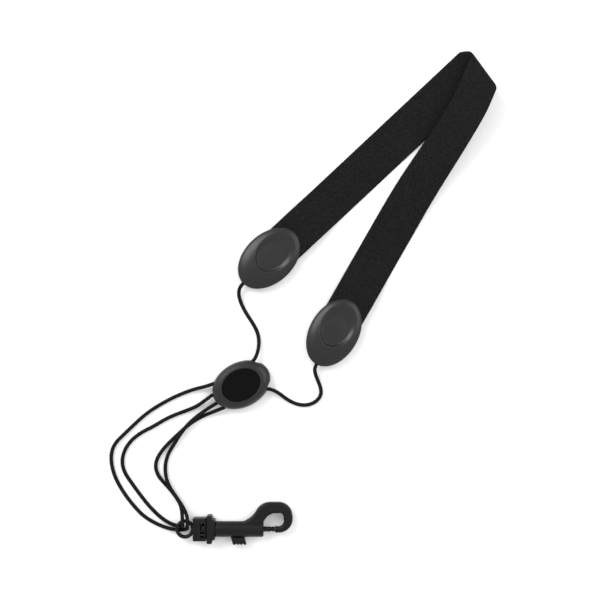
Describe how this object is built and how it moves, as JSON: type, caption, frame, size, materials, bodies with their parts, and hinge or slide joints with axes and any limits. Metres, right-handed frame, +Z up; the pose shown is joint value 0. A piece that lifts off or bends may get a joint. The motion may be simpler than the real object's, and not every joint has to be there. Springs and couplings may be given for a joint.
{
  "type": "saxophone neck strap",
  "caption": "Woven neck band with two clamp caps, a sliding cord adjuster and a swivelling spring-gate hook for a wind instrument",
  "frame": {"origin": "on the table, under the middle of the strap without its free cords, as it lies laid out", "axes": "+Z up from the table, +Y towards the fold of the neck band, +X along the hook towards its nose"},
  "size_m": [0.3063, 0.3928, 0.0259],
  "materials": {
    "webbing": "woven nylon webbing, near black, matte",
    "cord": "fine braided nylon cord, black, slight sheen",
    "cap_plastic": "moulded dark grey plastic, satin",
    "inlay": "glossy black plate, bare",
    "hook_plastic": "moulded near-black plastic, matte",
    "spring_steel": "plain steel wire"
  },
  "bodies": {
    "neck_band": {"webbing": "webbing", "cap_a_front_shell": "cap_plastic", "cap_a_rear_shell": "cap_plastic", "cap_b_front_shell": "cap_plastic", "cap_b_rear_shell": "cap_plastic", "cord_knot_a": "cord", "cord_knot_b": "cord", "cord_upper_a": "cord", "cord_upper_b": "cord", "cord_lower_loop_1": "cord", "cord_lower_loop_2": "cord"},
    "slider": {"slider_front_shell": "cap_plastic", "slider_rear_shell": "cap_plastic", "slider_inlay": "inlay", "cord_in_slider_a": "cord", "cord_in_slider_b": "cord", "cord_in_slider_turn": "cord"},
    "swivel": {"swivel_eye": "hook_plastic"},
    "hook": {"hook_body": "hook_plastic", "hook_rear_plug": "hook_plastic", "gate_spring": "spring_steel"},
    "gate": {"gate_plunger": "hook_plastic", "thumb_tab": "hook_plastic"}
  },
  "joints": [
    {"name": "slider_slide", "type": "slide", "parent": "neck_band", "child": "slider", "axis": [0.8829, 0.4695, 0], "range_m": [-0.03, 0.015], "deforming": ["cord_upper_a", "cord_upper_b", "cord_lower_loop_1", "cord_lower_loop_2"]},
    {"name": "swivel_hinge", "type": "hinge", "parent": "neck_band", "child": "swivel", "pos_m": [-0.1193, -0.1843, 0.00625], "axis": [0, 0, 1], "range_deg": [-60, 8]},
    {"name": "hook_spin", "type": "hinge", "parent": "swivel", "child": "hook", "pos_m": [-0.0568, -0.1843, 0.00625], "axis": [1, 0, 0], "continuous": true},
    {"name": "gate_slide", "type": "slide", "parent": "hook", "child": "gate", "axis": [-1, 0, 0], "range_m": [0, 0.0095], "stiffness_N_per_m": 300, "springref_m": -0.008, "deforming": ["gate_spring"]}
  ]
}
